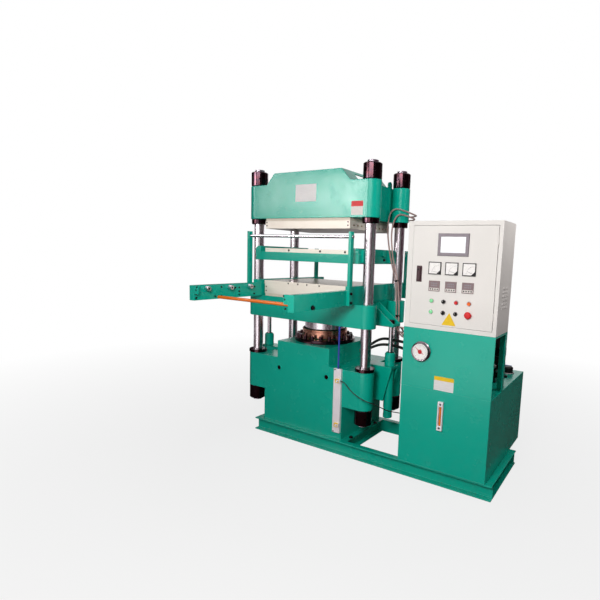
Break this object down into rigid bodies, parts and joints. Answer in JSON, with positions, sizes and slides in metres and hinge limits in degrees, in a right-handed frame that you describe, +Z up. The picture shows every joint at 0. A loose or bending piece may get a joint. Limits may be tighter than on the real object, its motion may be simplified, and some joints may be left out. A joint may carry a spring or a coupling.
{
  "type": "plate vulcanizing press",
  "caption": "Four-column hydraulic press with heated plates, a slide-out plate on rails, a channel base, an oil tank and an electric box with a hinged door.",
  "frame": {"origin": "on the floor, under the middle of the machine's bounding box", "axes": "+X to the machine's right, where the electric box stands, +Y to its back, +Z up"},
  "size_m": [2.183, 1.565, 2.139],
  "materials": {
    "green_paint": "glossy teal green machine paint",
    "cream_paint": "cream powder coat with a fine texture",
    "hard_chrome": "hard chrome, ground and polished",
    "blackened_steel": "oiled blackened steel with worn edges",
    "motor_paint": "dark maroon enamel",
    "ground_plate": "ground steel plate with pale insulation edges",
    "orange_paint": "orange enamel",
    "blue_bar": "blue enamel",
    "profile_aluminium": "satin anodised aluminium",
    "gauge_body": "chromed rim over a black case",
    "level_gauge": "aluminium body with a clear sight tube",
    "zinc_plate": "galvanised sheet with plastic devices",
    "screen_bezel": "grey moulded bezel round a pale screen",
    "black_plastic": "black moulded plastic",
    "red_plastic": "glossy red plastic",
    "orange_plastic": "glossy orange plastic",
    "conduit_sleeve": "pinkish beige woven sleeve",
    "black_rubber": "black rubber"
  },
  "bodies": {
    "press_frame": {"base_frame": "green_paint", "press_body": "green_paint", "upper_beam": "green_paint", "aux_cylinder_left": "green_paint", "aux_cylinder_right": "green_paint", "oil_tank": "green_paint", "cabinet_stand": "green_paint", "electric_box": "cream_paint", "column_front_left": "hard_chrome", "column_front_right": "hard_chrome", "column_rear_left": "hard_chrome", "column_rear_right": "hard_chrome", "breather_cap": "hard_chrome", "main_cylinder": "blackened_steel", "top_nut_front_left": "blackened_steel", "top_nut_front_right": "blackened_steel", "top_nut_rear_left": "blackened_steel", "top_nut_rear_right": "blackened_steel", "bottom_nut_front_left": "blackened_steel", "bottom_nut_front_right": "blackened_steel", "bottom_nut_rear_left": "blackened_steel", "bottom_nut_rear_right": "blackened_steel", "pump_motor": "motor_paint", "upper_hot_plate": "ground_plate", "sensor_profile": "profile_aluminium", "valve_manifold": "profile_aluminium", "pressure_gauge": "gauge_body", "oil_level_gauge": "level_gauge", "mounting_plate": "zinc_plate", "conduit_pair": "conduit_sleeve", "hydraulic_hoses": "black_rubber", "sensor_cable": "black_rubber"},
    "platform": {"moving_platform": "green_paint", "ram": "hard_chrome", "aux_rod_left": "hard_chrome", "aux_rod_right": "hard_chrome", "side_rail_left": "green_paint", "side_rail_right": "green_paint", "front_guard_bar": "hard_chrome", "tie_bar": "orange_paint", "lower_hot_plate": "ground_plate", "trigger_bar": "blue_bar"},
    "middle_platen": {"middle_frame": "green_paint", "middle_hot_plate": "ground_plate"},
    "sliding_plate": {"slide_plate": "ground_plate"},
    "door": {"box_door": "cream_paint", "hmi_screen": "screen_bezel"},
    "handle": {"door_handle": "black_plastic"},
    "selector_1": {"selector_1": "black_plastic"},
    "selector_2": {"selector_2": "black_plastic"},
    "selector_3": {"selector_3": "black_plastic"},
    "red_button": {"red_button": "red_plastic"},
    "orange_button": {"orange_button": "orange_plastic"},
    "emergency_stop": {"emergency_stop": "red_plastic"},
    "roller_left_1": {"roller_left_1": "hard_chrome"},
    "roller_left_2": {"roller_left_2": "hard_chrome"},
    "roller_left_3": {"roller_left_3": "hard_chrome"},
    "roller_right_1": {"roller_right_1": "hard_chrome"},
    "roller_right_2": {"roller_right_2": "hard_chrome"},
    "roller_right_3": {"roller_right_3": "hard_chrome"}
  },
  "joints": [
    {"name": "platform_lift", "type": "slide", "parent": "press_frame", "child": "platform", "axis": [0, 0, 1], "range_m": [0, 0.28]},
    {"name": "middle_platen_lift", "type": "slide", "parent": "press_frame", "child": "middle_platen", "axis": [0, 0, 1], "range_m": [0, 0.14]},
    {"name": "plate_slide", "type": "slide", "parent": "platform", "child": "sliding_plate", "axis": [0, -1, 0], "range_m": [0, 0.6]},
    {"name": "door_hinge", "type": "hinge", "parent": "press_frame", "child": "door", "pos_m": [1.0215, -0.1425, 1.3695], "axis": [0, 0, 1], "range_deg": [0, 115]},
    {"name": "handle_turn", "type": "hinge", "parent": "door", "child": "handle", "pos_m": [0.53749, -0.1535, 1.41187], "axis": [0, 1, 0], "range_deg": [0, 90]},
    {"name": "selector_1_turn", "type": "hinge", "parent": "door", "child": "selector_1", "pos_m": [0.71193, -0.1455, 1.212], "axis": [0, 1, 0], "range_deg": [-45, 45]},
    {"name": "selector_2_turn", "type": "hinge", "parent": "door", "child": "selector_2", "pos_m": [0.71193, -0.1455, 1.142], "axis": [0, 1, 0], "range_deg": [-45, 45]},
    {"name": "selector_3_turn", "type": "hinge", "parent": "door", "child": "selector_3", "pos_m": [0.79293, -0.1455, 1.142], "axis": [0, 1, 0], "range_deg": [-45, 45]},
    {"name": "red_button_press", "type": "slide", "parent": "door", "child": "red_button", "axis": [0, 1, 0], "range_m": [0, 0.005], "stiffness_N_per_m": 400, "springref_m": -0.002},
    {"name": "orange_button_press", "type": "slide", "parent": "door", "child": "orange_button", "axis": [0, 1, 0], "range_m": [0, 0.005], "stiffness_N_per_m": 400, "springref_m": -0.002},
    {"name": "emergency_stop_press", "type": "slide", "parent": "door", "child": "emergency_stop", "axis": [0, 1, 0], "range_m": [0, 0.005], "stiffness_N_per_m": 400, "springref_m": -0.002},
    {"name": "roller_left_1_spin", "type": "hinge", "parent": "platform", "child": "roller_left_1", "pos_m": [-0.8327, -0.6775, 1.21], "axis": [1, 0, 0], "continuous": true},
    {"name": "roller_left_2_spin", "type": "hinge", "parent": "platform", "child": "roller_left_2", "pos_m": [-0.8327, -0.4635, 1.21], "axis": [1, 0, 0], "continuous": true},
    {"name": "roller_left_3_spin", "type": "hinge", "parent": "platform", "child": "roller_left_3", "pos_m": [-0.8327, -0.2625, 1.21], "axis": [1, 0, 0], "continuous": true},
    {"name": "roller_right_1_spin", "type": "hinge", "parent": "platform", "child": "roller_right_1", "pos_m": [-0.0303, -0.6775, 1.21], "axis": [1, 0, 0], "continuous": true},
    {"name": "roller_right_2_spin", "type": "hinge", "parent": "platform", "child": "roller_right_2", "pos_m": [-0.0303, -0.4635, 1.21], "axis": [1, 0, 0], "continuous": true},
    {"name": "roller_right_3_spin", "type": "hinge", "parent": "platform", "child": "roller_right_3", "pos_m": [-0.0303, -0.2625, 1.21], "axis": [1, 0, 0], "continuous": true}
  ],
  "couplings": [
    {"joint": "middle_platen_lift", "follows": "platform_lift", "ratio": 0.5}
  ]
}
